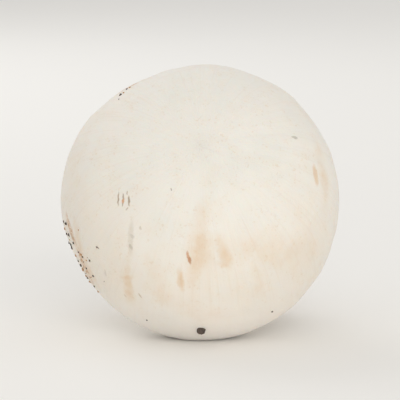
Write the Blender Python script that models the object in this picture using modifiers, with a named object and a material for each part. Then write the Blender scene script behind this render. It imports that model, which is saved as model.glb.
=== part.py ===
"""White button mushroom, picked, trimmed and lying on its side.

Metres, +Z up. The fruit body is modelled upright, standing on its cut stem,
as one grown piece: a cap with a rolled-in margin, gills in the chamber under
it, a half-torn veil, and a short stem with a flat cut. It is then laid down,
so that the cap and the lower edge of the cut stem touch the ground. The crown
of the cap points to -Y and up. The origin is on the ground, below the middle
of the mushroom.
"""

import math

import bmesh
import bpy
from mathutils import Matrix, Vector

MM = 0.001

# Heights are along the stem's axis, from the cut face. Radii are from that axis.
CAP_RADIUS = 20.9 * MM
WAIST_HEIGHT = 21.7 * MM
DOME_HEIGHT = 18.7 * MM
MARGIN_HEIGHT = 14.5 * MM
MARGIN_RADIUS = 15.2 * MM
LIP_RADIUS = 12.0 * MM
LIP_HEIGHT = 15.6 * MM
ROOF_HEIGHT = 24.8 * MM
STEM_RADIUS = 7.6 * MM
RING_RADIUS = 8.6 * MM
RING_HEIGHT = 13.9 * MM
CUT_RADIUS = 8.3 * MM

# How full the dome and the rolled margin are: 2 is an ellipse, more is boxier
DOME_FULLNESS = 2.2
MARGIN_FULLNESS = 2.1

# Straight steps along the half outline: on the dome, on the rolled margin, and
# between two knots of the chamber's and the stem's smooth lines
DOME_STEPS = 13
MARGIN_STEPS = 7
KNOT_STEPS = 2

# The gills are free of the stem and hang from the chamber's roof and wall. The body
# is turned in as many steps, so that each gill stands in the middle of a facet.
GILL_COUNT = 60
TURN_STEPS = GILL_COUNT
GILL_THICKNESS = 0.6 * MM
GILL_INNER_RADIUS = 8.9 * MM

# The veil still joins margin and stem along this stretch, and is torn elsewhere.
# Its steps are as wide as the body's, and stand half a step off them.
VEIL_THICKNESS = 0.7 * MM
VEIL_START_STEP = 27.5
VEIL_STEPS = 21

# How the grown outlines depart from circles: share, waves round, peak in degrees
CAP_LOBES = ((0.008, 2, 88), (0.012, 3, 43), (0.007, 4, 349), (0.003, 5, 21))
STEM_LOBES = ((0.035, 2, 25), (0.020, 3, 250))
STEM_LEAN = Vector((1.1, -0.5)) * MM
CUT_SLOPE = 0.05

# Soft swellings of the flesh, and the ragged edges where the veil has torn
SWELLING_HEIGHT = 0.15 * MM
SWELLING_SPACING = 13.0 * MM
TEAR_DEPTH = 0.55 * MM
TEAR_REACH = 1.6 * MM

# How far the two resting spots are pressed flat on the ground
REST_FLAT_DEPTH = 0.25 * MM

# The ground that presses them flat: its width, and how deep it reaches down
GROUND_WIDTH = 100 * MM
GROUND_DEPTH = 10 * MM

# Points nearer than this are one point, and triangles thinner than a sliver go
SAME_POINT = 0.001 * MM
SLIVER = 0.01 * MM

# Folds sharper than this keep their edge
CREASE_ANGLE = math.radians(40)

# The lying tilt is found by halving a right angle this many times
TILT_HALVINGS = 40

SKIN_COLOUR = (0.80, 0.74, 0.65, 1.0)
SKIN_ROUGHNESS = 0.62


def clear_scene():
    for leftover in list(bpy.data.objects):
        bpy.data.objects.remove(leftover, do_unlink=True)


def new_collection(name):
    collection = bpy.data.collections.new(name)
    bpy.context.scene.collection.children.link(collection)
    return collection


def skin_material():
    material = bpy.data.materials.new("mushroom_skin")
    material.use_nodes = True
    shader = material.node_tree.nodes["Principled BSDF"]
    shader.inputs["Base Color"].default_value = SKIN_COLOUR
    shader.inputs["Roughness"].default_value = SKIN_ROUGHNESS
    shader.inputs["Metallic"].default_value = 0.0
    return material


def add_object(name, mesh, collection):
    thing = bpy.data.objects.new(name, mesh)
    collection.objects.link(thing)
    return thing


def quarter_arc(centre, size, fullness, start_deg, end_deg, steps):
    """Points (radius, height) on part of a superellipse round centre."""
    points = []
    for i in range(steps + 1):
        turn = math.radians(start_deg + (end_deg - start_deg) * i / steps)
        side, rise = math.sin(turn), math.cos(turn)
        radius = centre[0] + size[0] * math.copysign(abs(side) ** (2 / fullness), side)
        height = centre[1] + size[1] * math.copysign(abs(rise) ** (2 / fullness), rise)
        points.append((radius, height))
    return points


def smooth_line(knots, steps):
    """Points on a curve through all the knots, steps to each stretch between two."""
    ends = [knots[0], *knots, knots[-1]]
    points = []
    for before, here, there, after in zip(ends, ends[1:], ends[2:], ends[3:]):
        for i in range(steps):
            t = i / steps
            points.append(
                tuple(
                    0.5
                    * (
                        2 * b
                        + (c - a) * t
                        + (2 * a - 5 * b + 4 * c - d) * t**2
                        + (3 * b - a - 3 * c + d) * t**3
                    )
                    for a, b, c, d in zip(before, here, there, after)
                )
            )
    return [*points, tuple(knots[-1])]


def dome_outline():
    """From the crown down to the cap's widest ring."""
    size = (CAP_RADIUS, DOME_HEIGHT)
    return quarter_arc((0, WAIST_HEIGHT), size, DOME_FULLNESS, 0, 90, DOME_STEPS)


def margin_outline():
    """From the widest ring round the rolled margin to its lowest point."""
    size = (CAP_RADIUS - MARGIN_RADIUS, WAIST_HEIGHT - MARGIN_HEIGHT)
    centre = (MARGIN_RADIUS, WAIST_HEIGHT)
    return quarter_arc(centre, size, MARGIN_FULLNESS, 90, 180, MARGIN_STEPS)


def chamber_outline():
    """Over the thin lip, then round the gill chamber to the top of the stem."""
    knots = (
        (MARGIN_RADIUS, MARGIN_HEIGHT),
        (LIP_RADIUS + 1.2 * MM, MARGIN_HEIGHT + 0.3 * MM),
        (LIP_RADIUS, LIP_HEIGHT),
        (LIP_RADIUS + 1.0 * MM, LIP_HEIGHT + 0.8 * MM),
        (CAP_RADIUS - 4.6 * MM, LIP_HEIGHT + 2.3 * MM),
        (CAP_RADIUS - 3.7 * MM, LIP_HEIGHT + 4.9 * MM),
        (CAP_RADIUS - 5.1 * MM, ROOF_HEIGHT - 1.6 * MM),
        (CAP_RADIUS - 8.5 * MM, ROOF_HEIGHT),
        (STEM_RADIUS + 1.8 * MM, ROOF_HEIGHT - 0.4 * MM),
        (STEM_RADIUS + 0.3 * MM, ROOF_HEIGHT - 2.3 * MM),
    )
    return smooth_line(knots, KNOT_STEPS)


def stem_outline():
    """From the top of the stem over the veil's ring to the edge of the cut face."""
    knots = (
        (STEM_RADIUS + 0.3 * MM, ROOF_HEIGHT - 2.3 * MM),
        (STEM_RADIUS, RING_HEIGHT + 2.0 * MM),
        (RING_RADIUS - 0.1 * MM, RING_HEIGHT + 0.5 * MM),
        (RING_RADIUS, RING_HEIGHT - 0.3 * MM),
        (STEM_RADIUS + 0.1 * MM, RING_HEIGHT - 1.1 * MM),
        (STEM_RADIUS, 8.5 * MM),
        (CUT_RADIUS - 0.2 * MM, 3.0 * MM),
        (CUT_RADIUS, 0.7 * MM),
        (CUT_RADIUS - 0.6 * MM, 0),
    )
    return smooth_line(knots, KNOT_STEPS)


def turned_body(name, collection):
    """Cap and stem in one skin, turned from the half outline."""
    outline = [
        *dome_outline(),
        *margin_outline()[1:],
        *chamber_outline()[1:],
        *stem_outline()[1:],
        (0, 0),
    ]
    mesh = bpy.data.meshes.new(name)
    edges = [(i, i + 1) for i in range(len(outline) - 1)]
    mesh.from_pydata([(radius, 0, height) for radius, height in outline], edges, [])
    body = add_object(name, mesh, collection)
    turn = body.modifiers.new("turn", "SCREW")
    turn.angle = math.tau
    turn.steps = turn.render_steps = TURN_STEPS
    turn.use_merge_vertices = True
    turn.merge_threshold = SLIVER
    return body


def gill_mesh():
    """One blade: an outline in the plane of radius and height, given its thickness."""
    outline = (
        (GILL_INNER_RADIUS, LIP_HEIGHT + 5.2 * MM),
        (GILL_INNER_RADIUS + 1.5 * MM, LIP_HEIGHT + 3.3 * MM),
        (CAP_RADIUS - 8.3 * MM, LIP_HEIGHT + 2.3 * MM),
        (CAP_RADIUS - 5.9 * MM, LIP_HEIGHT + 2.3 * MM),
        (CAP_RADIUS - 3.3 * MM, LIP_HEIGHT + 3.3 * MM),
        (CAP_RADIUS - 2.7 * MM, LIP_HEIGHT + 5.4 * MM),
        (CAP_RADIUS - 4.3 * MM, ROOF_HEIGHT - 0.4 * MM),
        (CAP_RADIUS - 8.3 * MM, ROOF_HEIGHT + 0.9 * MM),
        (GILL_INNER_RADIUS + 0.6 * MM, ROOF_HEIGHT + 0.5 * MM),
    )
    curve = bpy.data.curves.new("gill_outline", "CURVE")
    curve.dimensions = "2D"
    curve.fill_mode = "BOTH"
    curve.extrude = GILL_THICKNESS / 2
    line = curve.splines.new("POLY")
    line.points.add(len(outline) - 1)
    for point, (radius, height) in zip(line.points, outline):
        point.co = (radius, height, 0, 1)
    line.use_cyclic_u = True
    guide = add_object("gill_outline", curve, bpy.context.scene.collection)
    graph = bpy.context.evaluated_depsgraph_get()
    mesh = bpy.data.meshes.new_from_object(guide.evaluated_get(graph))
    bpy.data.objects.remove(guide)
    mesh.transform(Matrix.Rotation(math.radians(90), 4, "X"))
    return welded(mesh)


def welded(mesh):
    """The mesh with the loose caps of its curve joined to its sides."""
    shape = bmesh.new()
    shape.from_mesh(mesh)
    bmesh.ops.remove_doubles(shape, verts=shape.verts, dist=SAME_POINT)
    bmesh.ops.recalc_face_normals(shape, faces=shape.faces)
    shape.to_mesh(mesh)
    shape.free()
    return mesh


def add_gills(collection):
    """A ring of blades, each standing on a radius of the cap."""
    blade = gill_mesh()
    for i in range(GILL_COUNT):
        gill = add_object(f"gill_{i:02d}", blade, collection)
        gill.rotation_euler.z = math.tau * (i + 0.5) / GILL_COUNT


def add_veil(collection):
    """The stretch of thin skin that still joins the lip to the ring on the stem."""
    outline = (
        (LIP_RADIUS + 1.0 * MM, LIP_HEIGHT),
        (LIP_RADIUS - 1.2 * MM, LIP_HEIGHT - 0.6 * MM),
        (RING_RADIUS + 1.0 * MM, RING_HEIGHT + 0.3 * MM),
        (STEM_RADIUS - 0.4 * MM, RING_HEIGHT),
    )
    mesh = bpy.data.meshes.new("veil")
    edges = [(i, i + 1) for i in range(len(outline) - 1)]
    mesh.from_pydata([(radius, 0, height) for radius, height in outline], edges, [])
    veil = add_object("veil", mesh, collection)
    veil.rotation_euler.z = math.tau * VEIL_START_STEP / TURN_STEPS
    turn = veil.modifiers.new("turn", "SCREW")
    turn.angle = math.tau * VEIL_STEPS / TURN_STEPS
    turn.steps = turn.render_steps = VEIL_STEPS
    skin = veil.modifiers.new("skin", "SOLIDIFY")
    skin.thickness = VEIL_THICKNESS
    skin.offset = 0


def apply_modifiers(thing):
    graph = bpy.context.evaluated_depsgraph_get()
    mesh = bpy.data.meshes.new_from_object(thing.evaluated_get(graph))
    thing.modifiers.clear()
    thing.data = mesh


def split_into_triangles(mesh):
    """Well-shaped triangles, so that no face folds over itself when the shape grows."""
    shape = bmesh.new()
    shape.from_mesh(mesh)
    bmesh.ops.dissolve_degenerate(shape, edges=shape.edges, dist=SLIVER)
    bmesh.ops.triangulate(
        shape, faces=shape.faces, quad_method="BEAUTY", ngon_method="BEAUTY"
    )
    shape.to_mesh(mesh)
    shape.free()


def join_growth(body, growth):
    """One Boolean union makes body, gills and veil a single piece of flesh."""
    union = body.modifiers.new("grown_together", "BOOLEAN")
    union.operation = "UNION"
    union.operand_type = "COLLECTION"
    union.collection = growth
    union.solver = "MANIFOLD"
    apply_modifiers(body)
    for joined in list(growth.objects):
        bpy.data.objects.remove(joined, do_unlink=True)
    bpy.data.collections.remove(growth)
    split_into_triangles(body.data)


def smoothstep(low, high, value):
    share = min(1.0, max(0.0, (value - low) / (high - low)))
    return share * share * (3 - 2 * share)


def lobed(angle, lobes):
    """How far out the surface stands in this direction, as a factor near 1."""
    return 1 + sum(
        share * math.cos(waves * (angle - math.radians(peak)))
        for share, waves, peak in lobes
    )


def swelling(x, y, z):
    """Soft hills and hollows, between -1 and 1."""
    wave = math.tau / SWELLING_SPACING
    across = math.sin(wave * x + 1.3) * math.sin(wave * (y + 0.4 * z) + 0.4)
    along = math.sin(wave * (0.6 * x - 0.7 * y)) * math.cos(wave * z + 2.0)
    return (across + along) / 2


def torn(radius, angle, height):
    """How far a torn edge of lip or ring sticks out from the stem's axis."""
    to_lip = math.hypot(radius - LIP_RADIUS, height - LIP_HEIGHT)
    to_ring = math.hypot(radius - RING_RADIUS, height - RING_HEIGHT)
    near = 1 - smoothstep(0, TEAR_REACH, min(to_lip, to_ring))
    fringe = math.sin(5 * angle + 0.8) + math.sin(11 * angle + 2.0)
    return TEAR_DEPTH * near * fringe / 2


def grown(point):
    """Where a point of the regular, turned shape lies on the mushroom as it grew."""
    x, y, z = point
    angle = math.atan2(y, x)
    radius = math.hypot(x, y)
    in_cap = smoothstep(RING_HEIGHT, WAIST_HEIGHT, z)
    out_of_stem = smoothstep(STEM_RADIUS, MARGIN_RADIUS, radius)
    cap_share = max(in_cap, out_of_stem)
    bump = SWELLING_HEIGHT * swelling(x, y, z)
    factor = lobed(angle, STEM_LOBES) * (1 - cap_share)
    factor += lobed(angle, CAP_LOBES) * cap_share
    factor += bump / CAP_RADIUS
    if radius > 0:
        factor += torn(radius, angle, z) / radius
    lean = (1 - smoothstep(0, WAIST_HEIGHT, z)) * (1 - out_of_stem)
    cut = CUT_SLOPE * x * (1 - smoothstep(0, RING_HEIGHT, z))
    rise = cut + bump * cap_share
    return Vector((x * factor, y * factor, z + rise)) + STEM_LEAN.to_3d() * lean


def lowest(points, tilt):
    """Height of the lowest point once the upright shape is tilted about the X axis."""
    return min(point.y * math.sin(tilt) + point.z * math.cos(tilt) for point in points)


def lying_tilt(mesh):
    """The tilt at which cap and cut stem touch the ground together."""
    points = [vertex.co for vertex in mesh.vertices]
    cap = [point for point in points if point.z > RING_HEIGHT]
    foot = [point for point in points if point.z <= RING_HEIGHT]
    upright, flat = 0.0, math.radians(90)
    for _ in range(TILT_HALVINGS):
        tilt = (upright + flat) / 2
        if lowest(cap, tilt) > lowest(foot, tilt):
            upright = tilt
        else:
            flat = tilt
    return tilt


def lay_down(mushroom):
    """Tilts the mushroom on to its side and stands its middle over the origin."""
    tilt = lying_tilt(mushroom.data)
    turn = Matrix.Rotation(tilt, 4, "X")
    points = [turn @ vertex.co for vertex in mushroom.data.vertices]
    low = Vector(min(point[axis] for point in points) for axis in range(3))
    high = Vector(max(point[axis] for point in points) for axis in range(3))
    middle = (low + high) / 2
    mushroom.rotation_euler.x = tilt
    mushroom.location = (-middle.x, -middle.y, -low.z - REST_FLAT_DEPTH)


def press_flat(mushroom, cutters):
    """The ground trims two small flats, one on the cap and one on the cut's edge."""
    bpy.ops.mesh.primitive_cube_add(size=1)
    ground = bpy.context.object
    ground.name = "ground_cutter"
    ground.scale = (GROUND_WIDTH, GROUND_WIDTH, GROUND_DEPTH)
    ground.location.z = -GROUND_DEPTH / 2
    for owner in list(ground.users_collection):
        owner.objects.unlink(ground)
    cutters.objects.link(ground)
    ground.hide_render = True
    ground.display_type = "WIRE"
    trim = mushroom.modifiers.new("rest_flats", "BOOLEAN")
    trim.operation = "DIFFERENCE"
    trim.object = ground
    trim.solver = "EXACT"


def build():
    clear_scene()
    parts = new_collection("button_mushroom")
    cutters = new_collection("cutters")
    growth = new_collection("growth")
    mushroom = turned_body("button_mushroom", parts)
    add_gills(growth)
    add_veil(growth)
    join_growth(mushroom, growth)
    for vertex in mushroom.data.vertices:
        vertex.co = grown(vertex.co)
    mushroom.data.materials.clear()
    mushroom.data.materials.append(skin_material())
    mushroom.data.shade_smooth()
    mushroom.data.set_sharp_from_angle(angle=CREASE_ANGLE)
    lay_down(mushroom)
    press_flat(mushroom, cutters)


build()
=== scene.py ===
import math
import random

import bpy
import numpy as np
from mathutils import Matrix, Vector, noise


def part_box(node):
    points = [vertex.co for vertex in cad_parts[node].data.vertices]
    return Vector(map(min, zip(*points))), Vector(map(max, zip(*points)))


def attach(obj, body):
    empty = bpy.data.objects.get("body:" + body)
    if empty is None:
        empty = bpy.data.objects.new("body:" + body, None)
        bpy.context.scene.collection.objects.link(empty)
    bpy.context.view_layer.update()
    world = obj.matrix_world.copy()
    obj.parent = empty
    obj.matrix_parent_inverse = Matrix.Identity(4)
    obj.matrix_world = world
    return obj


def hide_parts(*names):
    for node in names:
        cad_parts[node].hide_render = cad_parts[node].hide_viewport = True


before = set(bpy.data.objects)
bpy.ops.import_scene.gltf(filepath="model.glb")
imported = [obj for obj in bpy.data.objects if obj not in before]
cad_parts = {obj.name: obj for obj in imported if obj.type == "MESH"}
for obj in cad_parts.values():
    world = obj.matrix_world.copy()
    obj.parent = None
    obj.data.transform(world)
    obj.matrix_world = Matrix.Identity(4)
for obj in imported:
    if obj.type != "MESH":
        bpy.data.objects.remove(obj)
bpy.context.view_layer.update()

# The cap: soft white flesh under a thin felted skin, a dome whose margin rolls in
# below the rim. It grows as one body with gills and stem, here drawn up ring by
# ring on the stem's axis, then made uneven and laid on its side as the solid lies.
MM = 0.001
CAP_RADIUS = 20.9 * MM
WAIST_HEIGHT = 21.7 * MM
DOME_HEIGHT = 18.7 * MM
MARGIN_HEIGHT = 14.5 * MM
MARGIN_RADIUS = 15.2 * MM
LIP_RADIUS = 12.0 * MM
LIP_HEIGHT = 15.6 * MM
ROOF_HEIGHT = 24.8 * MM
STEM_RADIUS = 7.6 * MM
RING_RADIUS = 8.6 * MM
RING_HEIGHT = 13.9 * MM
DOME_FULLNESS = 2.2
MARGIN_FULLNESS = 2.1
CAP_LOBES = ((0.008, 2, 88), (0.012, 3, 43), (0.007, 4, 349), (0.003, 5, 21))
STEM_LOBES = ((0.035, 2, 25), (0.020, 3, 250))
STEM_LEAN = np.array((1.1, -0.5, 0.0)) * MM
CUT_SLOPE = 0.05
SWELLING_HEIGHT = 0.15 * MM
SWELLING_SPACING = 13.0 * MM
TEAR_DEPTH = 0.55 * MM
TEAR_REACH = 1.6 * MM
LYING_TILT = math.radians(55.5)
CAP_STEPS_ROUND = 150
# How far the skin's relief stands out: dents, dimples, ridges from crown to rim, felt
DENT_DEPTH = 0.10 * MM
DIMPLE_DEPTH = 0.045 * MM
BROAD_RIDGE = 0.05 * MM
FINE_RIDGE = 0.03 * MM
FELT_DEPTH = 0.012 * MM
LIP_RIDGE = 0.07 * MM
INSIDE_SHARE = 0.25


def rounded(centre, size, fullness, start_deg, end_deg, steps):
    """Points (radius, height) on part of a superellipse round centre."""
    turns = [math.radians(start_deg + (end_deg - start_deg) * i / steps) for i in range(steps + 1)]
    return [
        tuple(
            middle + half * math.copysign(abs(reach) ** (2 / fullness), reach)
            for middle, half, reach in zip(centre, size, (math.sin(turn), math.cos(turn)))
        )
        for turn in turns
    ]


def flowing(knots, steps):
    """Points on a smooth line through the knots, steps to each stretch."""
    ends = np.array([knots[0], *knots, knots[-1]])
    points = []
    for a, b, c, d in zip(ends, ends[1:], ends[2:], ends[3:]):
        for t in np.arange(steps) / steps:
            bend = 2 * a - 5 * b + 4 * c - d
            twist = 3 * b - a - 3 * c + d
            points.append(0.5 * (2 * b + (c - a) * t + bend * t**2 + twist * t**3))
    return [*map(tuple, points), tuple(ends[-1])]


def turned(name, outline, around):
    """A closed form on the stem's axis, drawn out ring by ring from a small disc."""
    bpy.ops.object.select_all(action="DESELECT")
    radius, height = outline[0]
    bpy.ops.mesh.primitive_circle_add(
        vertices=around, radius=radius, fill_type="TRIFAN", location=(0, 0, height)
    )
    piece = bpy.context.object
    piece.name = name
    bpy.ops.object.transform_apply()
    bpy.ops.object.mode_set(mode="EDIT")
    bpy.ops.mesh.select_all(action="SELECT")
    bpy.ops.mesh.region_to_loop()
    for (radius, height), (next_radius, next_height) in zip(outline, outline[1:]):
        rise = (0, 0, next_height - height)
        bpy.ops.mesh.extrude_edges_move(TRANSFORM_OT_translate={"value": rise})
        growth = next_radius / radius
        bpy.ops.transform.resize(value=(growth, growth, 1), center_override=(0, 0, next_height))
    bpy.ops.mesh.edge_face_add()
    bpy.ops.mesh.poke()
    bpy.ops.mesh.select_all(action="SELECT")
    bpy.ops.mesh.normals_make_consistent(inside=False)
    bpy.ops.object.mode_set(mode="OBJECT")
    return piece


def apply_modifier(piece, kind, **settings):
    """Adds a modifier of this kind with these settings, and makes its result the mesh."""
    modifier = piece.modifiers.new(kind.lower(), kind)
    for key, value in settings.items():
        setattr(modifier, key, value)
    bpy.context.view_layer.objects.active = piece
    bpy.ops.object.modifier_apply(modifier=modifier.name)


def refine(piece):
    """Rounds a form off and doubles its steps each way."""
    apply_modifier(piece, "SUBSURF", levels=1, render_levels=1)


def places(piece):
    """The piece's points as rows of x, y and z."""
    flat = np.empty(len(piece.data.vertices) * 3, dtype=np.float32)
    piece.data.vertices.foreach_get("co", flat)
    return flat.reshape(-1, 3).astype(float)


def directions(piece):
    """Each point's outward direction."""
    flat = np.empty(len(piece.data.vertices) * 3, dtype=np.float32)
    piece.data.vertex_normals.foreach_get("vector", flat)
    return flat.reshape(-1, 3).astype(float)


def move_to(piece, points):
    """Puts the piece's points at these rows of x, y and z."""
    piece.data.vertices.foreach_set("co", points.astype(np.float32).ravel())
    piece.data.update()


def remember_upright(piece):
    """Keeps where each point stood on the upright, regular mushroom, for the patterns."""
    layer = piece.data.attributes.new("upright", "FLOAT_VECTOR", "POINT")
    layer.data.foreach_set("vector", places(piece).astype(np.float32).ravel())


def eased(low, high, value):
    """0 where value is low, 1 where it is high, eased in and out."""
    share = np.clip((value - low) / (high - low), 0, 1)
    return share * share * (3 - 2 * share)


def lobed(angle, lobes):
    """How far an uneven ring bulges, from lobes of (share, waves round, degrees of a peak)."""
    swings = (
        share * np.cos(waves * (angle - math.radians(peak))) for share, waves, peak in lobes
    )
    return 1 + sum(swings)


def grown(points):
    """Where points of the regular form lie on the mushroom as it grew.

    Lobes, swellings, tear, lean and slope are those of the solid, with the same phases."""
    x, y, z = points.T
    angle, radius = np.arctan2(y, x), np.hypot(x, y)
    wave = math.tau / SWELLING_SPACING
    across = np.sin(wave * x + 1.3) * np.sin(wave * (y + 0.4 * z) + 0.4)
    along = np.sin(wave * (0.6 * x - 0.7 * y)) * np.cos(wave * z + 2.0)
    bump = SWELLING_HEIGHT * (across + along) / 2
    to_lip = np.hypot(radius - LIP_RADIUS, z - LIP_HEIGHT)
    to_ring = np.hypot(radius - RING_RADIUS, z - RING_HEIGHT)
    near_tear = 1 - eased(0, TEAR_REACH, np.minimum(to_lip, to_ring))
    tear = TEAR_DEPTH * near_tear * (np.sin(5 * angle + 0.8) + np.sin(11 * angle + 2.0)) / 2
    out_of_stem = eased(STEM_RADIUS, MARGIN_RADIUS, radius)
    cap_share = np.maximum(eased(RING_HEIGHT, WAIST_HEIGHT, z), out_of_stem)
    factor = lobed(angle, STEM_LOBES) * (1 - cap_share) + lobed(angle, CAP_LOBES) * cap_share
    factor += bump / CAP_RADIUS + tear / np.maximum(radius, 1 * MM)
    rise = CUT_SLOPE * x * (1 - eased(0, RING_HEIGHT, z)) + bump * cap_share
    lean = (1 - eased(0, WAIST_HEIGHT, z)) * (1 - out_of_stem)
    return np.stack([x * factor, y * factor, z + rise], axis=1) + STEM_LEAN * lean[:, None]


def roughness(points, spacing, seed=0.0):
    """Smooth random relief between -1 and 1, its hills about one spacing apart."""
    offset = Vector((seed, seed * 0.7, -seed))
    return np.array([noise.noise(Vector(point) / spacing + offset) for point in points])


def streaks(points, count, spacing, seed=0.0):
    """Relief that runs along the meridians: count ridges round, slowly changing in height."""
    angle = np.arctan2(points[:, 1], points[:, 0])
    rows = zip(np.cos(angle) * count / 6, np.sin(angle) * count / 6, points[:, 2] / spacing + seed)
    return np.array([noise.noise(Vector(row)) for row in rows])


dome = rounded((0, WAIST_HEIGHT), (CAP_RADIUS, DOME_HEIGHT), DOME_FULLNESS, 1.6, 90, 36)
margin_size = (CAP_RADIUS - MARGIN_RADIUS, WAIST_HEIGHT - MARGIN_HEIGHT)
margin = rounded((MARGIN_RADIUS, WAIST_HEIGHT), margin_size, MARGIN_FULLNESS, 90, 180, 16)
chamber = flowing(
    (
        (MARGIN_RADIUS, MARGIN_HEIGHT),
        (LIP_RADIUS + 1.2 * MM, MARGIN_HEIGHT + 0.3 * MM),
        (LIP_RADIUS, LIP_HEIGHT),
        (LIP_RADIUS + 1.0 * MM, LIP_HEIGHT + 0.8 * MM),
        (CAP_RADIUS - 4.6 * MM, LIP_HEIGHT + 2.3 * MM),
        (CAP_RADIUS - 3.7 * MM, LIP_HEIGHT + 4.9 * MM),
        (CAP_RADIUS - 5.1 * MM, ROOF_HEIGHT - 1.6 * MM),
        (CAP_RADIUS - 8.5 * MM, ROOF_HEIGHT),
        (STEM_RADIUS + 1.8 * MM, ROOF_HEIGHT - 0.4 * MM),
        (STEM_RADIUS - 1.6 * MM, ROOF_HEIGHT - 0.4 * MM),
        (2 * MM, ROOF_HEIGHT - 0.4 * MM),
    ),
    4,
)
cap = turned("cap", [*dome, *margin[1:], *chamber[1:]], CAP_STEPS_ROUND)
refine(cap)
remember_upright(cap)
upright = places(cap)
height = upright[:, 2]
spread = np.hypot(upright[:, 0], upright[:, 1])
past_wall = eased(CAP_RADIUS - 3.3 * MM, CAP_RADIUS - 2.9 * MM, spread)
past_roof = eased(25.5 * MM, 26 * MM, height)
below_lip = 1 - eased(LIP_HEIGHT - 0.4 * MM, LIP_HEIGHT, height)
outside = np.maximum(np.maximum(past_wall, past_roof), below_lip)
from_crown = eased(4 * MM, 13 * MM, spread)
by_lip = (1 - eased(13 * MM, 17 * MM, spread)) * (1 - eased(15.4 * MM, 18 * MM, height))
move_to(cap, grown(upright))
relief = DENT_DEPTH * roughness(upright, 6 * MM) + DIMPLE_DEPTH * roughness(upright, 1.9 * MM, 3.0)
fine_ridges = FINE_RIDGE * streaks(upright, 190, 5 * MM, 7.0)
relief += from_crown * (BROAD_RIDGE * streaks(upright, 60, 9 * MM) + fine_ridges)
relief += FELT_DEPTH * roughness(upright, 0.7 * MM, 5.0)
relief += by_lip * LIP_RIDGE * streaks(upright, 150, 4 * MM, 2.0)
relief *= INSIDE_SHARE + (1 - INSIDE_SHARE) * outside
move_to(cap, places(cap) + directions(cap) * relief[:, None])

# The solid's box says where the lying cap goes: middle in x, front in y, top in z
box_low, box_high = (np.array(corner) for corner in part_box("button_mushroom"))
tilt = np.array(Matrix.Rotation(LYING_TILT, 3, "X"))
lying = places(cap) @ tilt.T
shift = np.array(
    [
        (box_low[0] + box_high[0] - lying[:, 0].min() - lying[:, 0].max()) / 2,
        box_low[1] - lying[:, 1].min(),
        box_high[2] - lying[:, 2].max(),
    ]
)


def lay_down(piece):
    """Tilts a finished upright piece on to its side, and presses it flat on the ground."""
    points = places(piece) @ tilt.T + shift
    points[:, 2] = np.maximum(points[:, 2], 0)
    move_to(piece, points)
    bpy.ops.object.select_all(action="DESELECT")
    piece.select_set(True)
    bpy.context.view_layer.objects.active = piece
    bpy.ops.object.shade_smooth()


lay_down(cap)

# The skin's finish: warm white on the crown, creamier towards the rim, with fine radial
# fibres, soft tan bruises, brown nicks and smeared soil. Paler close to the ground: that
# is painted light, set by height over the ground to offset the floor's shade. Each mark
# sits where the line of sight through its photograph pixel meets the cap.
PHOTO_ELEVATION = math.radians(8)
PHOTO_CAP_CENTRE = (287, 187)
PHOTO_CAP_WIDTH = 132
CAMERA_DISTANCE = 0.36
INWARD_TRIES = 10
INWARD_STEP = 0.012


def linear(red, green, blue):
    """A colour as seen on a screen, 0 to 255, in the shader's own scale."""
    return tuple(
        (c / 255 / 12.92) if c / 255 <= 0.04045 else ((c / 255 + 0.055) / 1.055) ** 2.4
        for c in (red, green, blue)
    ) + (1.0,)


WARM_WHITE = linear(231, 227, 218)
CREAM = linear(232, 221, 206)
GREYISH_WHITE = linear(226, 224, 215)
PAINTED_LIGHT_LOW_SKIN = linear(244, 239, 233)
MOTTLE_TAN = linear(228, 212, 191)
FIBRE_TAN = linear(222, 207, 187)
FLECK_TAN = linear(214, 192, 164)
BRUISE_TAN = linear(219, 188, 150)
SOIL_WASH = linear(218, 184, 148)
SOIL_CRUST = linear(188, 144, 104)
CHAMBER_PINK = linear(220, 190, 168)


class Shade:
    """A socket of a finish. Arithmetic on it adds Math nodes."""

    def __init__(self, finish, socket):
        self.finish = finish
        self.socket = socket

    def math(self, operation, first, second):
        return self.finish.node("ShaderNodeMath", {"operation": operation}, {0: first, 1: second})

    def __add__(self, other):
        return self.math("ADD", self, other)

    def __sub__(self, other):
        return self.math("SUBTRACT", self, other)

    def __rsub__(self, other):
        return self.math("SUBTRACT", other, self)

    def __mul__(self, other):
        return self.math("MULTIPLY", self, other)

    __radd__ = __add__
    __rmul__ = __mul__

    def between(self, low, high):
        """0 at low, 1 at high, eased in and out."""
        inputs = {"Value": self, "From Min": low, "From Max": high}
        return self.finish.node("ShaderNodeMapRange", {"interpolation_type": "SMOOTHSTEP"}, inputs)


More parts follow.
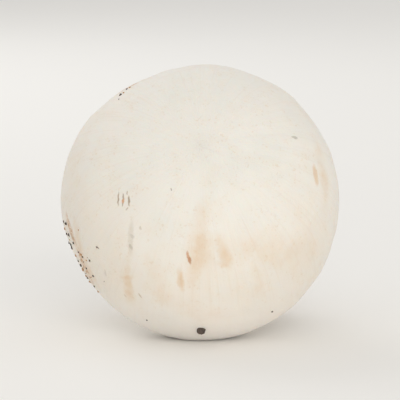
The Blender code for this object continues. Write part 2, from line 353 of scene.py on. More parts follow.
class Finish:
    """A material, built node by node round its Principled shader."""

    def __init__(self, name, **uniform):
        self.material = bpy.data.materials.new(name)
        self.material.use_nodes = True
        self.tree = self.material.node_tree
        self.shader = self.tree.nodes["Principled BSDF"]
        for socket, value in uniform.items():
            self.shader.inputs[socket.replace("_", " ")].default_value = value

    def node(self, kind, settings=None, inputs=None, output=0):
        made = self.tree.nodes.new(kind)
        for key, value in (settings or {}).items():
            setattr(made, key, value)
        for key, value in (inputs or {}).items():
            if isinstance(value, Shade):
                self.tree.links.new(value.socket, made.inputs[key])
            else:
                made.inputs[key].default_value = value
        return Shade(self, made.outputs[output])

    def vector(self, operation, first, second=(0, 0, 0), output=0):
        inputs = {0: first, 1: second}
        return self.node("ShaderNodeVectorMath", {"operation": operation}, inputs, output)

    def place(self):
        return self.node("ShaderNodeTexCoord", output="Object")

    def upright(self):
        return self.node("ShaderNodeAttribute", {"attribute_name": "upright"}, output="Vector")

    def parts(self, vector):
        split = self.node("ShaderNodeSeparateXYZ", None, {0: vector}).socket.node
        return [Shade(self, socket) for socket in split.outputs]

    def round_and_up(self, upright):
        """Distance from the stem's axis, and height above the cut."""
        level = self.vector("MULTIPLY", upright, (1, 1, 0))
        return self.vector("LENGTH", level, output="Value"), self.parts(upright)[2]

    def grain(self, spacing, where, detail=3.0, roughness=0.55):
        """Cloudy grain with hills about one spacing apart, averaging about a half."""
        inputs = {"Vector": where, "Scale": 1 / spacing, "Detail": detail, "Roughness": roughness}
        return self.node("ShaderNodeTexNoise", None, inputs)

    def fibres(self, upright, count, spacing):
        """Grain drawn out along the meridians, count fibres to a full turn."""
        level = self.vector("NORMALIZE", self.vector("MULTIPLY", upright, (1, 1, 0)))
        round_way = self.vector("MULTIPLY", level, (count / 6, count / 6, 0))
        up_way = self.vector("MULTIPLY", upright, (0, 0, 1 / spacing))
        where = self.vector("ADD", round_way, up_way)
        inputs = {"Vector": where, "Scale": 1.0, "Detail": 2.0}
        return self.node("ShaderNodeTexNoise", None, inputs)

    def wavered(self, where, spacing, shift, detail):
        """The place moved about by the grain, so that what is drawn there gets a ragged edge."""
        inputs = {"Vector": where, "Scale": 1 / spacing, "Detail": detail}
        waver = self.node("ShaderNodeTexNoise", None, inputs, output="Color")
        waver = self.vector("SUBTRACT", waver, (0.5, 0.5, 0.5))
        return self.vector("ADD", where, self.vector("MULTIPLY", waver, (shift,) * 3))

    def blend(self, share, first, second):
        """Colour first where share is 0, second where it is 1."""
        inputs = {"Factor": share, 6: first, 7: second}
        return self.node("ShaderNodeMix", {"data_type": "RGBA"}, inputs, output=2)

    def bump(self, height, distance, strength=1.0):
        """Fine relief, distance high, added to what the mesh has."""
        inputs = {"Height": height, "Distance": distance, "Strength": strength}
        self.feed("Normal", self.node("ShaderNodeBump", None, inputs))

    def feed(self, socket, value):
        self.tree.links.new(value.socket, self.shader.inputs[socket])

    def coat(self, piece):
        piece.data.materials.clear()
        piece.data.materials.append(self.material)


cap_points = places(cap)
cap_centre = Vector((cap_points.min(axis=0) + cap_points.max(axis=0)) / 2)
pixel = (cap_points[:, 0].max() - cap_points[:, 0].min()) / PHOTO_CAP_WIDTH
sight = Vector((0, math.cos(PHOTO_ELEVATION), -math.sin(PHOTO_ELEVATION)))
sight_up = Vector((0, math.sin(PHOTO_ELEVATION), math.cos(PHOTO_ELEVATION)))
eye = cap_centre - sight * CAMERA_DISTANCE


def on_cap(across, down):
    """The point of the cap, and its outward direction, behind a pixel of the photograph.

    A pixel just past the cap's outline is drawn inwards, step by step, until it meets the cap."""
    for inward in range(INWARD_TRIES):
        near = (1 - INWARD_STEP * inward) * pixel
        aim = cap_centre + Vector((1, 0, 0)) * (across - PHOTO_CAP_CENTRE[0]) * near
        aim += sight_up * (PHOTO_CAP_CENTRE[1] - down) * near
        found, place, outward, _ = cap.ray_cast(eye, (aim - eye).normalized())
        if found:
            return place, outward
    raise ValueError(f"pixel {across}, {down} is off the cap")


def mark(finish, where, top, bottom, width, softness):
    """A mask round the line on the cap between two photograph pixels, width in pixels."""
    start, end = on_cap(*top)[0], on_cap(*bottom)[0]
    along = end - start
    half_width = Vector((width, width, 0)) * pixel / 2
    half = half_width + Vector((0, 0, along.length / 2 + width * pixel / 2))
    inputs = {
        "Vector": where,
        "Location": (start + end) / 2,
        "Rotation": along.to_track_quat("Z", "Y").to_euler(),
        "Scale": half,
    }
    local = finish.node("ShaderNodeMapping", {"vector_type": "TEXTURE"}, inputs)
    return finish.vector("LENGTH", local, output="Value").between(1.0, 1.0 - softness)


skin = Finish(
    "cap_skin",
    Roughness=0.6,
    Subsurface_Weight=0.22,
    Subsurface_Radius=(1.0, 0.62, 0.40),
    Subsurface_Scale=1.6 * MM,
    Sheen_Weight=0.12,
    Sheen_Roughness=0.5,
    Specular_IOR_Level=0.35,
)
place = skin.place()
stood = skin.upright()
reach, level = skin.round_and_up(stood)
clouds = skin.grain(9 * MM, place)
mottle = skin.grain(2.4 * MM, place, detail=4.0)
fine_fibres = skin.fibres(stood, 260, 7 * MM)
wide_fibres = skin.fibres(stood, 70, 12 * MM)
over_ground = skin.parts(place)[2]
rim = reach.between(11 * MM, 20 * MM)
low = 1 - over_ground.between(4 * MM, 30 * MM)
off_crown = reach.between(3 * MM, 15 * MM)
# The low term is painted shade: the skin a little creamier in its lower part, by height over the
# ground.
creamy = (clouds - 0.5) * 0.9 + rim * 0.30 + low * 0.10
creamy = creamy + (wide_fibres - 0.5) * (0.15 + off_crown * 0.3)
colour = skin.blend(creamy.between(-0.1, 0.95), WARM_WHITE, CREAM)
greyish = skin.grain(6 * MM, skin.vector("ADD", place, (0.05, 0, 0))).between(0.46, 0.66)
colour = skin.blend(greyish * (1 - rim) * (1 - low) * 0.6, colour, GREYISH_WHITE)
colour = skin.blend(mottle.between(0.45, 0.85) * 0.30, colour, MOTTLE_TAN)
fibrous = fine_fibres.between(0.52, 0.80) * (0.06 + off_crown * 0.20)
colour = skin.blend(fibrous, colour, FIBRE_TAN)
flecks = skin.grain(0.42 * MM, place, detail=1.0).between(0.60, 0.70) * mottle.between(0.35, 0.65)
colour = skin.blend(flecks * 0.30, colour, FLECK_TAN)
# Painted light: the skin is paler within 11 mm of the ground, to offset the floor's shade.
colour = skin.blend((1 - over_ground.between(0, 11 * MM)) * 0.7, colour, PAINTED_LIGHT_LOW_SKIN)

wavering = skin.wavered(place, 1.1 * MM, 0.9 * MM, 2.0)
flickering = skin.wavered(place, 0.5 * MM, 0.35 * MM, 1.0)
# Soft tan bruises: upper end, lower end, width in pixels, softness, strength
bruises = (
    ((287, 198), (284, 226), 14, 0.9, 0.44),
    ((290, 187), (286, 202), 11, 1.0, 0.28),
    ((295.5, 203), (300, 218), 8, 0.8, 0.44),
    ((291, 204), (291.5, 222), 9, 0.9, 0.24),
    ((298, 212), (301, 218), 7.5, 0.7, 0.22),
    ((295, 217), (300.5, 218.5), 4, 0.7, 0.25),
    ((288.5, 202), (286, 217), 7, 0.8, 0.28),
    ((287, 206), (285, 221), 10, 0.9, 0.24),
    ((277.4, 219.2), (278.4, 230.2), 4.2, 0.6, 0.50),
    ((254.4, 211), (253.4, 236), 6, 0.8, 0.50),
    ((252.5, 222), (255, 235), 8, 0.9, 0.45),
    ((250, 223.6), (256, 223.4), 3.6, 0.7, 0.40),
    ((300, 208), (340, 212), 26, 1.0, 0.40),
    ((341, 158), (345, 196), 13, 0.9, 0.50),
    ((228, 196), (240, 230), 12, 0.9, 0.60),
    ((264, 212), (270, 236), 14, 1.0, 0.25),
    ((312, 216), (316, 232), 9, 1.0, 0.30),
    ((262, 226), (300, 244), 22, 1.0, 0.22),
)
patchy = 0.45 + mottle.between(0.30, 0.62) * 0.55
for top, bottom, width, softness, strength in bruises:
    spot = mark(skin, wavering, top, bottom, width, softness)
    colour = skin.blend(spot * patchy * strength, colour, BRUISE_TAN)
# Brown nicks and scratches, and one greyish streak: ends, width, colour, strength
nicks = (
    ((280.9, 211.2), (282.0, 216.2), 1.9, (204, 162, 128), 0.9),
    ((281.9, 214.4), (282.4, 216.8), 2.0, (188, 138, 102), 0.8),
    ((340.8, 171), (342.2, 179.5), 4.6, (220, 190, 156), 0.7),
    ((248.5, 183.0), (248.5, 190.2), 1.3, (158, 136, 112), 0.8),
    ((250.7, 184), (250.8, 187), 1.2, (158, 132, 108), 0.7),
    ((250.8, 187.0), (250.7, 188.2), 2.0, (206, 152, 110), 0.85),
    ((250.5, 188.6), (250.4, 189.8), 1.1, (164, 144, 124), 0.7),
    ((252.5, 182.8), (252.6, 184.4), 1.1, (176, 156, 132), 0.6),
    ((253.5, 184.8), (253.6, 190.0), 1.3, (158, 136, 112), 0.8),
    ((252.9, 190.6), (252.2, 191.6), 1.2, (184, 168, 148), 0.6),
    ((255.0, 196.5), (254.2, 212.6), 4.2, (206, 197, 182), 0.5),
    ((253.8, 208.2), (254.8, 209.8), 2.2, (184, 174, 160), 0.6),
    ((254.4, 203.6), (255.6, 204.8), 2.0, (194, 186, 172), 0.5),
    ((259.0, 199.6), (259.0, 200.8), 1.6, (190, 178, 162), 0.5),
    ((242.2, 220.0), (242.7, 223.0), 1.9, (204, 194, 178), 0.5),
    ((277.8, 222), (278.4, 228), 1.8, (216, 188, 156), 0.4),
    ((238.0, 208.8), (239.4, 210.2), 1.1, (112, 98, 84), 0.8),
    ((273.4, 181.5), (273.6, 182.5), 1.0, (122, 108, 96), 0.8),
    ((330.6, 157.3), (332.6, 157.7), 2.0, (176, 172, 158), 0.7),
    ((258.0, 231), (259.4, 233), 1.3, (192, 172, 150), 0.6),
    ((251.2, 231.5), (252.2, 232.7), 1.3, (200, 172, 144), 0.5),
)
for top, bottom, width, tone, strength in nicks:
    spot = mark(skin, flickering, top, bottom, width, 0.55)
    colour = skin.blend(spot * strength, colour, linear(*tone))
# Wet soil smeared on, low and high on the left: ends, width, strength
crusty = skin.grain(0.60 * MM, place, detail=2.0).between(0.47, 0.56)
smears = (
    ((224, 194), (229, 210), 8, 0.9),
    ((229, 209), (236, 227), 9, 1.0),
    ((248, 137), (256, 129), 8, 0.8),
)
for top, bottom, width, strength in smears:
    spot = mark(skin, wavering, top, bottom, width, 0.8)
    colour = skin.blend(spot * 0.5 * strength, colour, SOIL_WASH)
    colour = skin.blend(spot * crusty * strength, colour, SOIL_CRUST)
# The roof and wall of the gill chamber
inner = (1 - reach.between(17.2 * MM, 17.8 * MM)) * level.between(15.8 * MM, 16.6 * MM)
inner = inner * (1 - level.between(25.2 * MM, 25.8 * MM))
colour = skin.blend(inner, colour, CHAMBER_PINK)
skin.feed("Base Color", colour)
skin.feed("Roughness", 0.52 + mottle * 0.2)
felt = skin.grain(0.22 * MM, place, detail=2.0) * 0.6 + fine_fibres * 0.9 + mottle * 0.8
skin.bump(felt, 0.07 * MM, 0.7)
skin.coat(cap)
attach(cap, "root")
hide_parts("button_mushroom")

# The gills: thin upright blades that hang from the chamber's roof and wall, free of
# the stem, pinkish when young and browner with age. Their colour darkens deeper in the
# chamber, towards the roof: painted shade. Long ones run all the way in, and shorter
# ones stand between them. One blade of each length is cut, then copied.
GILL_COUNT = 240
GILL_ROOT_THICKNESS = 0.24 * MM
GILL_LENGTHS = (1.0, 0.86, 0.96, 0.76)
GILL_STATIONS = 10
GILL_OUTER_RADIUS = CAP_RADIUS - 2.9 * MM
GILL_TO_STEM = 1.0 * MM
GILL_EDGE_SHARE = 0.65
GILL_SWAY = 0.12 * MM
GILL_UNEVENNESS = 0.2
GILL_PALE = linear(224, 198, 180)
GILL_SHADED_DEEP = linear(214, 182, 160)
GILL_SPECKLE = linear(192, 156, 132)


def gill_station(share, run):
    """Radius, and heights of root and free edge, at this share of the run from the wall in."""
    radius = GILL_OUTER_RADIUS - run * share * (GILL_OUTER_RADIUS - STEM_RADIUS - GILL_TO_STEM)
    along = (radius - STEM_RADIUS) / (GILL_OUTER_RADIUS - STEM_RADIUS)
    root = ROOF_HEIGHT + 0.7 * MM - 2.6 * MM * eased(0.62, 1.0, along)
    lift_by_stem = 2.2 * MM * (1 - eased(0.05, 0.45, along))
    lift_by_wall = 1.2 * MM * eased(0.75, 1.0, along)
    edge = LIP_HEIGHT + 2.1 * MM + lift_by_stem + lift_by_wall
    edge += (root - edge) * (1 - share) * eased(0.5, 1.0, run) * 0.8
    return radius, root, edge


def gill_blade(share):
    """A blade as long as this share of the run, drawn out edge by edge from the cap's wall."""
    stations = [gill_station(share, i / GILL_STATIONS) for i in range(GILL_STATIONS + 1)]
    radius, root, edge = stations[0]
    middle, stand_up = (radius, 0, (root + edge) / 2), (math.radians(90), 0, 0)
    bpy.ops.object.select_all(action="DESELECT")
    bpy.ops.mesh.primitive_plane_add(size=1, location=middle, rotation=stand_up)
    blade = bpy.context.object
    blade.scale = (0.2 * MM, root - edge, 1)
    bpy.ops.object.transform_apply()
    bpy.ops.object.mode_set(mode="EDIT")
    bpy.ops.mesh.select_mode(type="VERT")
    bpy.ops.mesh.select_all(action="DESELECT")
    bpy.ops.object.mode_set(mode="OBJECT")
    for corner in blade.data.vertices:
        corner.select = corner.co.x < radius
    bpy.ops.object.mode_set(mode="EDIT")
    for last, new in zip(stations, stations[1:]):
        step = (new[0] - last[0], 0, (new[1] + new[2] - last[1] - last[2]) / 2)
        bpy.ops.mesh.extrude_edges_move(TRANSFORM_OT_translate={"value": step})
        growth = (new[1] - new[2]) / (last[1] - last[2])
        middle = (new[0], 0, (new[1] + new[2]) / 2)
        bpy.ops.transform.resize(value=(1, 1, growth), center_override=middle)
    bpy.ops.object.mode_set(mode="OBJECT")
    apply_modifier(blade, "SOLIDIFY", thickness=GILL_ROOT_THICKNESS, offset=0)
    points = places(blade)
    to_root = eased(LIP_HEIGHT + 1.5 * MM, ROOF_HEIGHT, points[:, 2])
    points[:, 1] *= GILL_EDGE_SHARE + (1 - GILL_EDGE_SHARE) * to_root
    move_to(blade, points)
    return blade


def turned_copy(piece, angle, wobble):
    """A copy with its own mesh, turned round the stem's axis and bent a little sideways."""
    twin = piece.copy()
    twin.data = piece.data.copy()
    bpy.context.scene.collection.objects.link(twin)
    points = places(twin)
    wave = np.sin((points[:, 0] / MM) * 0.55 + wobble * 9000)
    points[:, 1] += wobble * wave * eased(24 * MM, 17 * MM, points[:, 2])
    turn = np.array(Matrix.Rotation(angle, 3, "Z"))
    move_to(twin, points @ turn.T)
    return twin


def joined(name, pieces):
    """Several finished meshes made one piece."""
    bpy.ops.object.select_all(action="DESELECT")
    for piece in pieces:
        piece.select_set(True)
    bpy.context.view_layer.objects.active = pieces[0]
    bpy.ops.object.join()
    whole = bpy.context.object
    whole.name = name
    return whole


draw = random.Random(11)
patterns = [gill_blade(share) for share in GILL_LENGTHS]
blades = []
for i in range(GILL_COUNT):
    pattern = patterns[i % len(patterns)]
    angle = math.tau * (i + draw.uniform(-GILL_UNEVENNESS, GILL_UNEVENNESS)) / GILL_COUNT
    blades.append(turned_copy(pattern, angle, draw.uniform(-GILL_SWAY, GILL_SWAY)))
for pattern in patterns:
    bpy.data.objects.remove(pattern, do_unlink=True)
gills = joined("gills", blades)
remember_upright(gills)
move_to(gills, grown(places(gills)))
lay_down(gills)
gill = Finish(
    "gill_flesh",
    Roughness=0.7,
    Subsurface_Weight=0.15,
    Subsurface_Radius=(1.0, 0.6, 0.45),
    Subsurface_Scale=0.8 * MM,
)
level = gill.parts(gill.upright())[2]
# Painted shade: the gills darker deeper in the chamber, towards the roof.
depth = level.between(LIP_HEIGHT + 2 * MM, ROOF_HEIGHT)
speckle = gill.grain(0.9 * MM, gill.place())
colour = gill.blend(depth, GILL_PALE, GILL_SHADED_DEEP)
colour = gill.blend(speckle.between(0.45, 0.75) * 0.4, colour, GILL_SPECKLE)
gill.feed("Base Color", colour)
gill.bump(speckle, 0.03 * MM)
gill.coat(gills)
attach(gills, "root")
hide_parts("button_mushroom")

# The stem: stout and pale, of long fibres that show as ridges on its side, swollen
# at the trimmed end. The knife left a nearly flat face: firm outer rind, looser
# pith in the middle, and a rim that has turned tan in the air.
CUT_RADIUS = 8.3 * MM
STEM_TOP = ROOF_HEIGHT + 0.3 * MM
STEM_STEPS_ROUND = 110
BROAD_STEM_RIDGE = 0.09 * MM
FINE_STEM_RIDGE = 0.06 * MM
STEM_DENT = 0.12 * MM
STEM_GRAIN = 0.03 * MM
FLESH_TUFT = 0.16 * MM
FINE_FLESH_TUFT = 0.10 * MM
PITH_DEPTH = 0.35 * MM
PITH_TUFT = 0.12 * MM
side = flowing(
    (
        (STEM_RADIUS + 1.2 * MM, STEM_TOP),
        (STEM_RADIUS + 0.5 * MM, ROOF_HEIGHT - 1.4 * MM),
        (STEM_RADIUS, ROOF_HEIGHT - 4.5 * MM),
        (STEM_RADIUS, RING_HEIGHT + 2.0 * MM),
        (RING_RADIUS - 0.1 * MM, RING_HEIGHT + 0.5 * MM),
        (RING_RADIUS, RING_HEIGHT - 0.3 * MM),
        (STEM_RADIUS + 0.1 * MM, RING_HEIGHT - 1.1 * MM),
        (STEM_RADIUS, 8.5 * MM),
        (CUT_RADIUS - 0.2 * MM, 3.0 * MM),
        (CUT_RADIUS, 0.7 * MM),
        (CUT_RADIUS - 0.35 * MM, 0.05 * MM),
    ),
    6,
)
top_rings = [(3 * MM, STEM_TOP), (6 * MM, STEM_TOP)]
cut_radii = (7.4, 6.9, 6.3, 5.7, 5.0, 4.3, 3.6, 2.9, 2.2, 1.5, 0.8)
cut_rings = [(radius * MM, 0) for radius in cut_radii]
stem = turned("stem", [*top_rings, *side, *cut_rings], STEM_STEPS_ROUND)
refine(stem)
remember_upright(stem)
upright = places(stem)
height = upright[:, 2]
spread = np.hypot(upright[:, 0], upright[:, 1])
move_to(stem, grown(upright))
cut_face = 1 - eased(0.1 * MM, 0.5 * MM, height)
ridges = BROAD_STEM_RIDGE * streaks(upright, 46, 8 * MM)
ridges += FINE_STEM_RIDGE * streaks(upright, 130, 5 * MM, 4.0)
dents = STEM_DENT * roughness(upright, 4 * MM, 8.0)
dents += STEM_GRAIN * roughness(upright, 0.8 * MM, 2.0)
pith = 1 - eased(3.2 * MM, 5.4 * MM, spread + 0.7 * MM * roughness(upright, 2.5 * MM, 6.0))
torn_flesh = FLESH_TUFT * roughness(upright, 0.9 * MM, 9.0)
torn_flesh += FINE_FLESH_TUFT * roughness(upright, 0.4 * MM, 12.0)
torn_flesh -= pith * (PITH_DEPTH + PITH_TUFT * roughness(upright, 0.7 * MM, 15.0))
within_rind = 1 - eased(6.6 * MM, 7.8 * MM, spread)
relief = (ridges + dents) * (1 - cut_face) + torn_flesh * cut_face * within_rind
move_to(stem, places(stem) + directions(stem) * relief[:, None])
lay_down(stem)

STEM_WHITE = linear(232, 223, 207)
STEM_CREAM = linear(220, 200, 172)
FIBRE_BUFF = linear(206, 180, 148)
COARSE_FIBRE = linear(196, 162, 124)
FOOT_BROWN = linear(186, 148, 110)
CUT_PALE = linear(224, 205, 178)
CUT_PITH = linear(206, 176, 142)
CUT_PATCH = linear(196, 164, 128)
CUT_PORE = linear(178, 140, 104)
KNIFE_LINE = linear(184, 148, 112)
RIND_TAN = linear(160, 118, 80)
flesh = Finish(
    "stem_flesh",
    Roughness=0.62,
    Subsurface_Weight=0.2,
    Subsurface_Radius=(1.0, 0.6, 0.4),
    Subsurface_Scale=1.4 * MM,
)
place = flesh.place()
stood = flesh.upright()
reach, level = flesh.round_and_up(stood)
fibre = flesh.fibres(stood, 150, 9 * MM)
coarse = flesh.fibres(stood, 42, 14 * MM)
blotch = flesh.grain(3.5 * MM, place, detail=4.0)
cut = 1 - level.between(0.15 * MM, 0.6 * MM)
foot = 1 - level.between(0.5 * MM, 7 * MM)
colour = flesh.blend(blotch.between(0.35, 0.75), STEM_WHITE, STEM_CREAM)
colour = flesh.blend(fibre.between(0.50, 0.72) * 0.5, colour, FIBRE_BUFF)
colour = flesh.blend(coarse.between(0.55, 0.75) * 0.35, colour, COARSE_FIBRE)
browned_foot = (foot * 0.5 + (blotch - 0.5) * 0.9).between(0.1, 0.7)
colour = flesh.blend(browned_foot * 0.7, colour, FOOT_BROWN)
uneven = flesh.grain(1.8 * MM, place, detail=4.0)
heart = 1 - (reach + (uneven - 0.5) * 3 * MM).between(2.4 * MM, 5.6 * MM)
pores = flesh.grain(0.35 * MM, place, detail=4.0, roughness=0.7)
knife = flesh.grain(0.55 * MM, flesh.vector("MULTIPLY", stood, (0.10, 1, 0)))
face = flesh.blend(heart, CUT_PALE, CUT_PITH)
face = flesh.blend(uneven.between(0.42, 0.72) * 0.45, face, CUT_PATCH)
face = flesh.blend(pores.between(0.48, 0.72) * 0.45, face, CUT_PORE)
face = flesh.blend(knife.between(0.50, 0.75) * 0.40, face, KNIFE_LINE)
rind = (reach + (uneven - 0.5) * 1.6 * MM).between(7.1 * MM, 8.1 * MM)
face = flesh.blend(rind * (0.45 + uneven * 0.5), face, RIND_TAN)
colour = flesh.blend(cut, colour, face)
flesh.feed("Base Color", colour)
flesh.feed("Roughness", 0.55 + blotch * 0.25)
fuzz = fibre * (1 - cut) + (pores + knife * 1.5) * cut + flesh.grain(0.2 * MM, place) * 0.4
flesh.bump(fuzz, 0.06 * MM, 0.7)
flesh.coat(stem)
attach(stem, "root")
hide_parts("button_mushroom")

# The veil: a thin white skin that joined the lip to the stem while the cap was shut.
# One stretch still holds, the rest has torn and left tatters along the lip and a
# ragged skirt round the stem. Each is a sheet, thickened to a skin.
VEIL_THICKNESS = 0.15 * MM
VEIL_START_DEG = 165
VEIL_SWEEP_DEG = 126
VEIL_END_DEG = VEIL_START_DEG + VEIL_SWEEP_DEG
VEIL_SLACK = 0.35 * MM
SHORTEST_TATTER = 0.25 * MM
SHORTEST_SKIRT = 0.35 * MM
TATTER_GROWTH = 1.5 * MM
VEIL_WHITE = linear(236, 229, 217)
VEIL_THREAD = linear(226, 213, 193)
VEIL_STAIN = linear(206, 174, 140)


def sheet_between(name, shape, around, across):
    """A thin skin whose places come from its two shares, round the stem and outwards in."""
    bpy.ops.object.select_all(action="DESELECT")
    bpy.ops.mesh.primitive_grid_add(x_subdivisions=around, y_subdivisions=across, size=2)
    skin_piece = bpy.context.object
    skin_piece.name = name
    round_share, in_share = (places(skin_piece)[:, :2].T + 1) / 2
    angle, radius, height = shape(round_share, in_share)
    move_to(skin_piece, np.stack([radius * np.cos(angle), radius * np.sin(angle), height], axis=1))
    apply_modifier(skin_piece, "SOLIDIFY", thickness=VEIL_THICKNESS, offset=0)
    refine(skin_piece)
    return skin_piece


def ragged(share, count, seed):
    """A torn edge's reach, 0 to 1, along the share of its length."""
    spots = [Vector((s * count, seed, 0)) for s in share]
    return np.array([0.5 + 0.5 * noise.fractal(spot, 1.0, 2.0, 3) for spot in spots])


def held_stretch(round_share, in_share):
    """The stretch that holds: from lip to ring, sagging in pleats, with torn ends."""
    start = math.radians(VEIL_START_DEG) - 0.22 * (ragged(in_share, 3.0, 2.0) - 0.3)
    end = math.radians(VEIL_END_DEG) + 0.30 * (ragged(in_share, 3.0, 7.0) - 0.3)
    angle = start + (end - start) * round_share
    belly = np.sin(np.pi * in_share)
    pleat = ragged(round_share, 30, 4.0) - 0.5
    radius = LIP_RADIUS + 0.7 * MM - (LIP_RADIUS + 0.7 * MM - STEM_RADIUS - 0.2 * MM) * in_share
    height = LIP_HEIGHT - 0.25 * MM + (RING_HEIGHT - LIP_HEIGHT + 0.2 * MM) * in_share
    return angle, radius, height - belly * (VEIL_SLACK - VEIL_SLACK * pleat)


def torn_way(round_share, overlap_deg):
    """Angles round the torn part, which starts and ends a little way along the held one."""
    sweep = math.radians(360 + 2 * overlap_deg - VEIL_SWEEP_DEG)
    return math.radians(VEIL_END_DEG - overlap_deg) + sweep * round_share


def skirt(round_share, in_share):
    """The skirt round the stem: hangs out and down from the ring, its edge ragged."""
    length = SHORTEST_SKIRT + TATTER_GROWTH * ragged(round_share, 26, 11.0) ** 1.5
    out = in_share * length
    curl = 0.25 * MM * np.sin(round_share * 60) * in_share
    radius = STEM_RADIUS + 0.5 * MM + 0.75 * out
    return torn_way(round_share, 4), radius, RING_HEIGHT - 0.1 * MM - 0.6 * out + curl


def lip_tatters(round_share, in_share):
    """The tatters on the lip: reach in and down from it, some long and most short."""
    length = SHORTEST_TATTER + TATTER_GROWTH * ragged(round_share, 32, 19.0) ** 2
    length += 0.5 * MM * ragged(round_share, 110, 23.0)
    reach_in = in_share * length
    curl = 0.3 * MM * np.sin(round_share * 47 + 1) * in_share
    radius = LIP_RADIUS + 0.55 * MM - 0.85 * reach_in
    return torn_way(round_share, 3), radius, LIP_HEIGHT - 0.3 * MM - 0.35 * reach_in + curl


veil = joined(
    "veil",
    [
        sheet_between("held", held_stretch, 90, 10),
        sheet_between("skirt", skirt, 200, 4),
        sheet_between("tatters", lip_tatters, 260, 4),
    ],
)
remember_upright(veil)
move_to(veil, grown(places(veil)))
lay_down(veil)
thin_skin = Finish(
    "veil_skin",
    Roughness=0.6,
    Subsurface_Weight=0.3,
    Subsurface_Radius=(1.0, 0.7, 0.5),
    Subsurface_Scale=1.0 * MM,
)
threads = thin_skin.fibres(thin_skin.upright(), 200, 2 * MM)
stain = thin_skin.grain(1.5 * MM, thin_skin.place(), detail=4.0)
colour = thin_skin.blend(threads.between(0.35, 0.75), VEIL_WHITE, VEIL_THREAD)
colour = thin_skin.blend(stain.between(0.55, 0.80) * 0.5, colour, VEIL_STAIN)
thin_skin.feed("Base Color", colour)
thin_skin.bump(threads + stain * 0.5, 0.02 * MM)
thin_skin.coat(veil)
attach(veil, "root")
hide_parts("button_mushroom")

# Crumbs of dark peat from the growing bed, stuck to the damp skin: a larger one under
# the front of the cap, a crust low on its left, and the rest on the stem's foot and
# cut. Each is a small broken lump, about half sunk into what it sticks to.
CRUMB_PATTERNS = 5
LARGE_CRUMB_RADIUS = 0.66 * MM
CRUST_CRUMBS = 34
FOOT_CRUMBS = 46
CUT_CRUMBS = 5
CUT_CRUMB_REACH = 7.4 * MM
PEAT_DARK = linear(60, 53, 50)
PEAT_GREY = linear(112, 100, 91)
PEAT_BROWN = linear(192, 150, 110)


def crumb_pattern(seed, breakage=0.35, flatness=0.7):
    """A lump about 2 units across and flatness times as high, its points moved at random."""
    bpy.ops.object.select_all(action="DESELECT")
    bpy.ops.mesh.primitive_ico_sphere_add(subdivisions=2, radius=1)
    lump = bpy.context.object
    bpy.ops.object.mode_set(mode="EDIT")
    bpy.ops.mesh.select_all(action="SELECT")
    bpy.ops.transform.vertex_random(offset=breakage, normal=0.7, seed=seed)
    bpy.ops.transform.resize(value=(1.0, (1 + flatness) / 2, flatness), center_override=(0, 0, 0))
    bpy.ops.object.mode_set(mode="OBJECT")
    return lump


def stick_on(pattern, place, outward, radius, spin, browned=0.0):
    """A copy of a crumb on the surface, its flat side down, dark or browned."""
    lump = pattern.copy()
    lump.data = pattern.data.copy()
    tint = lump.data.attributes.new("browned", "FLOAT", "POINT")
    tint.data.foreach_set("value", np.full(len(lump.data.vertices), browned, dtype=np.float32))
    bpy.context.scene.collection.objects.link(lump)
    turn = np.array(outward.to_track_quat("Z", "Y").to_matrix() @ Matrix.Rotation(spin, 3, "Z"))
    points = places(lump) * radius @ turn.T + np.array(place + outward * radius * 0.1)
    move_to(lump, points)
    return lump


draw = random.Random(23)
crumb_patterns = [crumb_pattern(seed) for seed in range(CRUMB_PATTERNS)]
round_crumb = crumb_pattern(CRUMB_PATTERNS, 0.14, 0.95)
place, outward = on_cap(287.5, 248.2)
lumps = [stick_on(round_crumb, place, outward, LARGE_CRUMB_RADIUS, 0.0)]
# On the cap: photograph pixel, radius in millimetres, and 1 where it is browned
crust = []
for _ in range(CRUST_CRUMBS):
    bearing = math.radians(draw.uniform(188, 223))
    away = PHOTO_CAP_WIDTH / 2 * (1 - 0.11 * draw.random() ** 1.5)
    across = PHOTO_CAP_CENTRE[0] + away * math.cos(bearing)
    crust.append((across, PHOTO_CAP_CENTRE[1] - away * math.sin(bearing)))
for across, down, radius, browned in (
    *((*pixels, draw.uniform(0.07, 0.24), draw.choice((0.0, 0.0, 1.0))) for pixels in crust),
    (238.4, 209.4, 0.12, 0.0),
    (249.5, 137.5, 0.24, 0.0),
    (252.5, 134.8, 0.18, 0.0),
    (251.0, 136.5, 0.14, 1.0),
    (254.0, 134.0, 0.16, 1.0),
    (248.8, 139.5, 0.11, 0.0),
    (225.2, 203.5, 0.20, 0.0),
    (226.4, 214.2, 0.20, 1.0),
    (227.4, 207.2, 0.24, 0.0),
    (229.8, 211.6, 0.16, 0.0),
    (232.0, 220.0, 0.22, 1.0),
    (231.4, 224.0, 0.18, 1.0),
    (230.2, 218.5, 0.14, 0.0),
    (262.0, 243.6, 0.14, 0.0),
    (321.0, 239.6, 0.16, 0.0),
):
    place, outward = on_cap(across, down)
    spin = draw.uniform(0, math.tau)
    lumps.append(stick_on(draw.choice(crumb_patterns), place, outward, radius * MM, spin, browned))
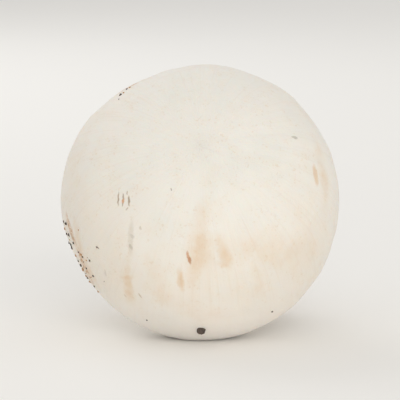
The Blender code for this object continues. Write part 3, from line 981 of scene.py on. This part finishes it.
# All round the stem's foot and on its cut, as drawn on the upright mushroom
on_stem = []
for _ in range(FOOT_CRUMBS):
    bearing = draw.uniform(0, math.tau)
    height = 0.5 * MM + 6.5 * MM * draw.random() ** 1.5
    on_stem.append((STEM_RADIUS * math.cos(bearing), STEM_RADIUS * math.sin(bearing), height))
for _ in range(CUT_CRUMBS):
    bearing = draw.uniform(0, math.tau)
    away = CUT_CRUMB_REACH * math.sqrt(draw.random())
    on_stem.append((away * math.cos(bearing), away * math.sin(bearing), 0))
stem_points, stem_out = places(stem), directions(stem)
stood_at = np.empty(len(stem_points) * 3, dtype=np.float32)
stem.data.attributes["upright"].data.foreach_get("vector", stood_at)
stood_at = stood_at.reshape(-1, 3)
for spot in on_stem:
    nearest = int(np.argmin(((stood_at - spot) ** 2).sum(axis=1)))
    place, outward = Vector(stem_points[nearest]), Vector(stem_out[nearest])
    radius = 0.09 * MM + 0.30 * MM * draw.random() ** 3
    spin = draw.uniform(0, math.tau)
    pattern = draw.choice(crumb_patterns)
    browned = draw.choice((0.0, 0.0, 0.0, 0.0, 0.0, 1.0))
    lumps.append(stick_on(pattern, place, outward, radius, spin, browned))
for pattern in (*crumb_patterns, round_crumb):
    bpy.data.objects.remove(pattern, do_unlink=True)
crumbs = joined("soil_crumbs", lumps)
bpy.ops.object.shade_flat()
peat = Finish("peat", Roughness=0.95, Specular_IOR_Level=0.2)
place = peat.place()
colour = peat.blend(peat.grain(0.3 * MM, place), PEAT_DARK, PEAT_GREY)
browned = peat.node("ShaderNodeAttribute", {"attribute_name": "browned"}, output="Fac")
peat.feed("Base Color", peat.blend(browned * 0.9, colour, PEAT_BROWN))
peat.bump(peat.grain(0.12 * MM, place), 0.05 * MM)
peat.coat(crumbs)
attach(crumbs, "root")
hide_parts("button_mushroom")

# The floor: one wide, plain, pale sheet for the mushroom to lie on. It is not part of
# the mushroom.
FLOOR_SIZE = 3.0
bpy.ops.object.select_all(action="DESELECT")
bpy.ops.mesh.primitive_plane_add(size=FLOOR_SIZE, location=(0, 0, 0))
floor = bpy.context.object
floor.name = "floor"
paper = Finish("floor_paper", Roughness=0.85, Specular_IOR_Level=0.2)
clouded = paper.grain(0.3, paper.place())
paper.feed("Base Color", paper.blend(clouded, linear(243, 241, 237), linear(246, 244, 240)))
paper.coat(floor)

# The light: a pale room all round, one broad soft lamp in front and to the right, and
# a weaker one behind to the left, so that every side is lit and the shadow stays soft.
ROOM_COLOUR = (1.0, 0.995, 0.985, 1)
ROOM_STRENGTH = 0.73
room = bpy.data.worlds.new("room")
room.use_nodes = True
walls = room.node_tree.nodes["Background"]
walls.inputs["Color"].default_value = ROOM_COLOUR
walls.inputs["Strength"].default_value = ROOM_STRENGTH
bpy.context.scene.world = room


def lamp(name, place, size, power, warmth):
    """A square area lamp that faces the middle of the mushroom."""
    bpy.ops.object.light_add(type="AREA", location=place)
    light = bpy.context.object
    light.name = name
    light.data.size = size
    light.data.energy = power
    light.data.color = warmth
    light.rotation_euler = (Vector(place) - cap_centre).to_track_quat("Z", "Y").to_euler()


lamp("key", (0.28, -1.02, 0.27), 0.80, 5.2, (1.0, 0.99, 0.975))
lamp("back", (-0.30, 0.42, 0.40), 0.45, 0.8, (0.98, 0.99, 1.0))

# The camera: in front of the crown and a little above it, as the photograph was taken,
# with the cap in the middle of a square picture.
SENSOR_WIDTH = 36
CAP_SHARE_OF_PICTURE = 0.70
bpy.ops.object.camera_add(location=eye)
camera = bpy.context.object
camera.rotation_euler = (-sight).to_track_quat("Z", "Y").to_euler()
camera.data.sensor_width = SENSOR_WIDTH
picture_width = PHOTO_CAP_WIDTH * pixel / CAP_SHARE_OF_PICTURE
camera.data.lens = SENSOR_WIDTH * CAMERA_DISTANCE / picture_width
bpy.context.scene.camera = camera
bpy.context.scene.view_settings.view_transform = "Standard"
